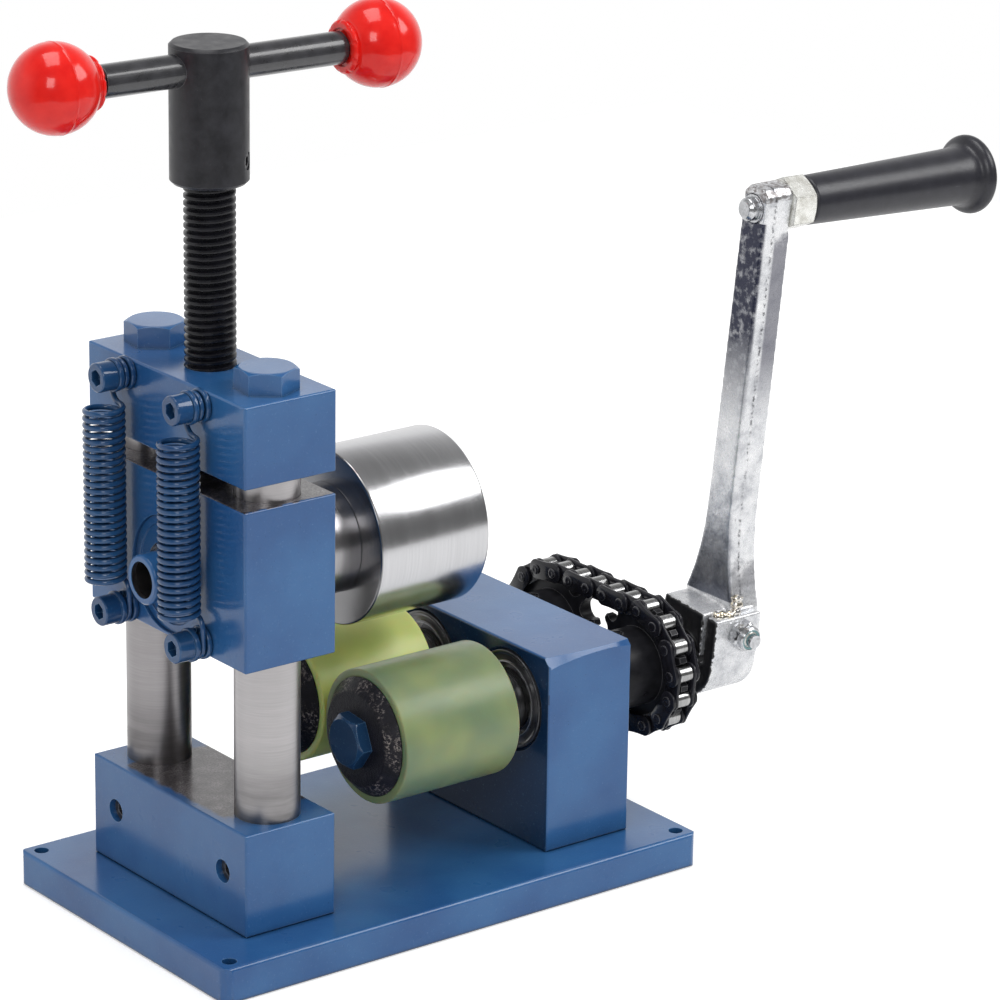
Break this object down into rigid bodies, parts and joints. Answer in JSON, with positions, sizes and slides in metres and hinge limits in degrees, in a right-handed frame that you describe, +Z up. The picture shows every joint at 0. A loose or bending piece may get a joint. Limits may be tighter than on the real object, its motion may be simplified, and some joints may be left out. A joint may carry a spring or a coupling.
{
  "type": "jewellers rolling mill",
  "caption": "Hand cranked bench mill that rolls and curves metal strip between an upper roller on a screw-set sliding head and a pair of chain-linked lower rollers.",
  "frame": {"origin": "centre of the base plate's underside", "axes": "+X along the roller shafts towards the crank, +Y across the machine, +Z up the guide posts"},
  "size_m": [0.3706, 0.125, 0.3104],
  "materials": {
    "blue_enamel": "gloss stoved enamel",
    "ground_steel": "ground and lightly brushed",
    "polished_steel": "polished",
    "black_oxide": "black oxide, oiled",
    "bearing_steel": "bright rings round dark seals",
    "red_plastic": "gloss phenolic",
    "polyurethane": "translucent yellow-green polyurethane",
    "chain_steel": "dark plates, oiled",
    "chain_bright": "bright",
    "plated_casting": "rough casting, bright plated",
    "zinc_plate": "zinc plated",
    "black_plastic": "satin"
  },
  "bodies": {
    "frame": {"base_plate": "blue_enamel", "post_block": "blue_enamel", "bearing_block": "blue_enamel", "block_screws": "black_oxide", "left_post": "ground_steel", "right_post": "ground_steel", "post_set_screws": "blue_enamel", "crosshead": "blue_enamel", "post_bolts": "blue_enamel", "left_spring": "blue_enamel", "right_spring": "blue_enamel", "upper_spring_screws": "blue_enamel", "upper_spring_washers": "blue_enamel", "near_front_bearing": "bearing_steel", "near_rear_bearing": "bearing_steel", "far_front_bearing": "bearing_steel", "far_rear_bearing": "bearing_steel", "chain_outer_plates": "chain_steel", "chain_inner_plates": "chain_steel", "chain_pins": "chain_bright", "chain_bushes": "chain_bright", "chain_rollers": "chain_bright"},
    "head": {"sliding_head": "blue_enamel", "head_front_bearing": "bearing_steel", "head_rear_bearing": "bearing_steel", "thrust_pad": "ground_steel", "lower_spring_screws": "blue_enamel", "lower_spring_washers": "blue_enamel"},
    "screw": {"lead_screw": "black_oxide", "handle_hub": "black_oxide", "hub_set_screw": "black_oxide", "cross_bar": "black_oxide", "left_knob": "red_plastic", "right_knob": "red_plastic"},
    "upper_roll": {"upper_shaft": "ground_steel", "upper_roller": "polished_steel", "upper_roller_washer": "polished_steel", "upper_roller_bolt": "blue_enamel", "upper_circlip": "ground_steel"},
    "near_roll": {"near_shaft": "ground_steel", "near_core": "black_oxide", "near_sleeve": "polyurethane", "near_roller_bolt": "blue_enamel", "near_circlip": "ground_steel", "near_sprocket": "black_oxide", "near_sprocket_screw": "black_oxide", "crank_arm": "plated_casting", "clamp_bolt": "zinc_plate", "clamp_nut": "zinc_plate", "handle_stud": "zinc_plate", "handle_nut": "zinc_plate"},
    "far_roll": {"far_shaft": "ground_steel", "far_core": "black_oxide", "far_sleeve": "polyurethane", "far_roller_bolt": "blue_enamel", "far_circlip": "ground_steel", "far_sprocket": "black_oxide", "far_sprocket_screw": "black_oxide"},
    "grip": {"handle_grip": "black_plastic"}
  },
  "joints": [
    {"name": "screw_turn", "type": "hinge", "parent": "head", "child": "screw", "pos_m": [-0.0618, 0, 0.16063], "axis": [0, 0, 1], "range_deg": [-2160, 1008]},
    {"name": "head_slide", "type": "slide", "parent": "frame", "child": "head", "axis": [0, 0, 1], "range_m": [-0.015, 0.007], "deforming": ["left_spring", "right_spring"]},
    {"name": "upper_roller_spin", "type": "hinge", "parent": "head", "child": "upper_roll", "pos_m": [0, 0, 0.12683], "axis": [1, 0, 0], "continuous": true},
    {"name": "crank_turn", "type": "hinge", "parent": "frame", "child": "near_roll", "pos_m": [0, -0.02381, 0.0626], "axis": [1, 0, 0], "continuous": true, "deforming": ["chain_outer_plates", "chain_inner_plates", "chain_pins", "chain_bushes", "chain_rollers"]},
    {"name": "far_roller_turn", "type": "hinge", "parent": "frame", "child": "far_roll", "pos_m": [0, 0.02381, 0.0626], "axis": [1, 0, 0], "continuous": true},
    {"name": "grip_spin", "type": "hinge", "parent": "near_roll", "child": "grip", "pos_m": [0.16, -0.04106, 0.2267], "axis": [0.9996, 0.0031, -0.0295], "continuous": true}
  ],
  "couplings": [
    {"joint": "head_slide", "follows": "screw_turn", "m_per_rad": 0.00039789},
    {"joint": "far_roller_turn", "follows": "crank_turn", "ratio": 1}
  ]
}
